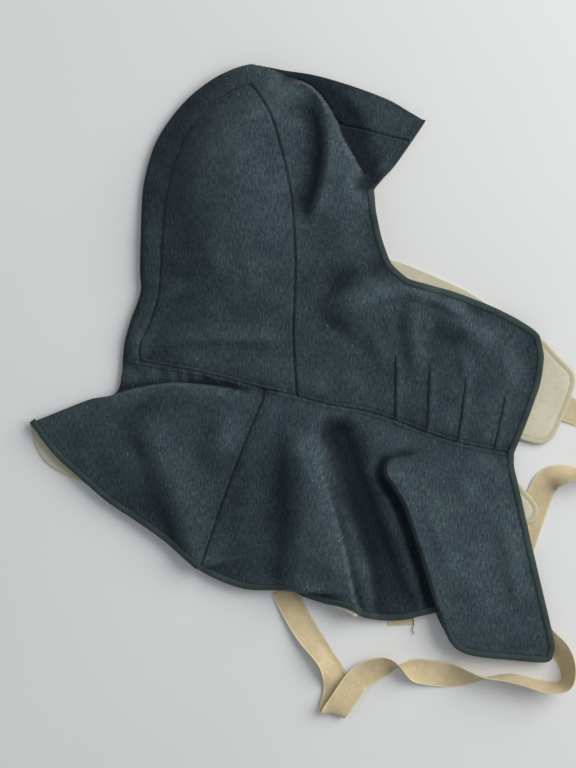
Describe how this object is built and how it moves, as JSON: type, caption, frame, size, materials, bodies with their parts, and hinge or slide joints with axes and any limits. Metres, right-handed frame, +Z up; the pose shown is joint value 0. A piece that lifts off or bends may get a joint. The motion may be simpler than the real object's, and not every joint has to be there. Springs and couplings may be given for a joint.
{
  "type": "lined hood with shoulder cape",
  "caption": "Lined woollen cloth hood with a peak over the face, an open front, a flared shoulder cape, bound edges and tape ties, laid flat on its side.",
  "frame": {"origin": "centre of the laid hood's box in plan, at the table it lies on, measured without the tape ties", "axes": "+X to the hood's front, +Y to its crown, +Z up from the table, across the hood from its left side to its right"},
  "size_m": [0.5949, 0.6655, 0.0521],
  "materials": {
    "outer_cloth": "blue-grey heathered woollen twill, matt with a short nap",
    "lining_cloth": "cream plain-weave cotton, matt",
    "binding_tape": "dark green ribbed binding, matt",
    "tie_tape": "ecru herringbone cotton tape, matt"
  },
  "bodies": {
    "hood": {"crown_panel": "outer_cloth", "right_back_side_panel": "outer_cloth", "right_cheek_panel": "outer_cloth", "left_back_side_panel": "outer_cloth", "left_front_side_panel": "outer_cloth", "cape_back_panel": "outer_cloth", "cape_right_side_panel": "outer_cloth", "cape_left_panel": "outer_cloth", "crown_lining": "lining_cloth", "right_hood_lining": "lining_cloth", "left_hood_lining": "lining_cloth", "cape_back_lining": "lining_cloth", "right_cape_lining": "lining_cloth", "left_cape_lining": "lining_cloth", "throat_flap": "lining_cloth", "tie_flap": "lining_cloth", "right_face_binding": "binding_tape", "right_hem_binding": "binding_tape", "left_face_binding": "binding_tape", "left_front_binding": "binding_tape", "left_hem_binding": "binding_tape", "upper_tie": "tie_tape", "lower_tie": "tie_tape"},
    "right_front": {"right_chin_panel": "outer_cloth", "cape_right_front_panel": "outer_cloth", "right_front_lining": "lining_cloth", "right_front_binding": "binding_tape"}
  },
  "joints": [
    {"name": "right_front_open", "type": "hinge", "parent": "hood", "child": "right_front", "pos_m": [0.091, 0.096, 0.016], "axis": [0.1237, -0.9923, 0], "range_deg": [0, 110]}
  ]
}
